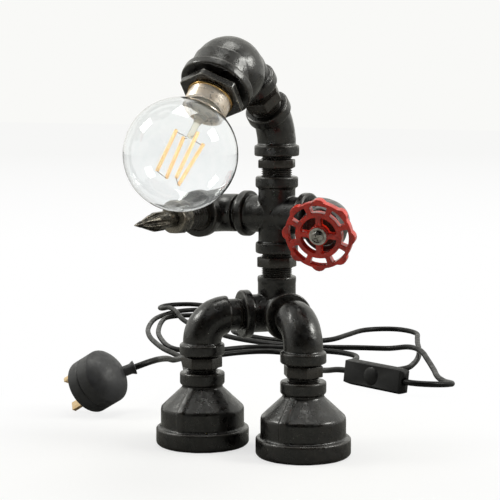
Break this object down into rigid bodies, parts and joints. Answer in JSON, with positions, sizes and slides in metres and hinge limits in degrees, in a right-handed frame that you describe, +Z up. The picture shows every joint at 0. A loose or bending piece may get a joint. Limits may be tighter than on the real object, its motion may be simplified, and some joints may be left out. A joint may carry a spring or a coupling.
{
  "type": "desk lamp",
  "caption": "Desk lamp shaped like a robot, built from black threaded pipe fittings, with a bare globe bulb as its face, a red handwheel for a hand and a lead with a switch and plug.",
  "frame": {"origin": "on the table, under the middle of the lamp's own outline seen from above, without its free lead", "axes": "+Z up; -Y the way the robot faces and its globe bulb hangs; +X towards the hand that holds the handwheel"},
  "size_m": [0.6126, 0.8378, 0.3464],
  "materials": {
    "iron": "satin, near-black",
    "tool_steel": "satin, dark",
    "bright_steel": "polished",
    "red_enamel": "gloss",
    "brass": "satin",
    "ceramic": "matt",
    "clear_glass": "clear",
    "black_glass": "gloss",
    "amber": "satin",
    "black_rubber": "satin",
    "black_plastic": "satin"
  },
  "bodies": {
    "body": {"left_foot": "iron", "right_foot": "iron", "left_leg_nipple": "iron", "right_leg_nipple": "iron", "left_leg_elbow": "iron", "right_leg_elbow": "iron", "crotch_fitting": "iron", "waist_nipple": "iron", "body_cross": "iron", "neck_nipple": "iron", "inner_lead_body": "black_rubber", "lead_gland": "black_plastic", "lead_lamp_to_switch": "black_rubber", "lead_switch_to_plug": "black_rubber", "switch_back": "black_plastic", "switch_front": "black_plastic", "switch_terminals": "brass", "switch_screws": "bright_steel", "plug_base": "black_plastic", "plug_cover": "black_plastic", "plug_earth_pin": "brass", "plug_line_pins": "brass", "plug_fuse": "ceramic", "plug_cover_screw": "bright_steel", "plug_sleeve": "black_plastic"},
    "head": {"neck_elbow": "iron", "head_nipple": "iron", "head_elbow": "iron", "head_bush": "iron", "lampholder_shell": "brass", "lampholder_entry": "bright_steel", "lampholder_insulator": "ceramic", "lampholder_screw_shell": "brass", "lampholder_contact": "brass", "lampholder_ring": "brass", "bulb_globe": "clear_glass", "bulb_cap": "brass", "bulb_cap_insulator": "black_glass", "bulb_cap_contact": "bright_steel", "bulb_stem": "clear_glass", "bulb_filaments": "amber", "bulb_support_wires": "bright_steel", "inner_lead_head": "black_rubber"},
    "left_arm": {"left_arm_elbow": "iron", "left_wrist_bush": "iron", "left_wrist_stud": "iron", "left_hand_collar": "iron", "left_hand_bit": "tool_steel"},
    "right_arm": {"right_arm_elbow": "iron", "spindle_bush": "iron"},
    "hand_wheel": {"wheel_spindle": "bright_steel", "handwheel": "red_enamel", "wheel_washer": "bright_steel", "wheel_screw": "bright_steel"},
    "rocker": {"switch_rocker": "black_plastic"}
  },
  "joints": [
    {"name": "neck_swivel", "type": "hinge", "parent": "body", "child": "head", "pos_m": [-0.00443, 0.08692, 0.2458], "axis": [0, 0, 1], "range_deg": [-90, 90]},
    {"name": "left_shoulder", "type": "hinge", "parent": "body", "child": "left_arm", "pos_m": [-0.03743, 0.08692, 0.1954], "axis": [-1, 0, 0], "range_deg": [-45, 90]},
    {"name": "right_shoulder", "type": "hinge", "parent": "body", "child": "right_arm", "pos_m": [0.02857, 0.08692, 0.1954], "axis": [-1, 0, 0], "range_deg": [-60, 90]},
    {"name": "handwheel_turn", "type": "hinge", "parent": "right_arm", "child": "hand_wheel", "pos_m": [0.05577, 0.05981, 0.18839], "axis": [0.1874, -0.951, -0.2459], "continuous": true},
    {"name": "switch_flip", "type": "hinge", "parent": "body", "child": "rocker", "pos_m": [-0.0272, 0.3226, 0.01389], "axis": [0.0465, 0.1312, 0.9903], "range_deg": [-12, 0]}
  ]
}
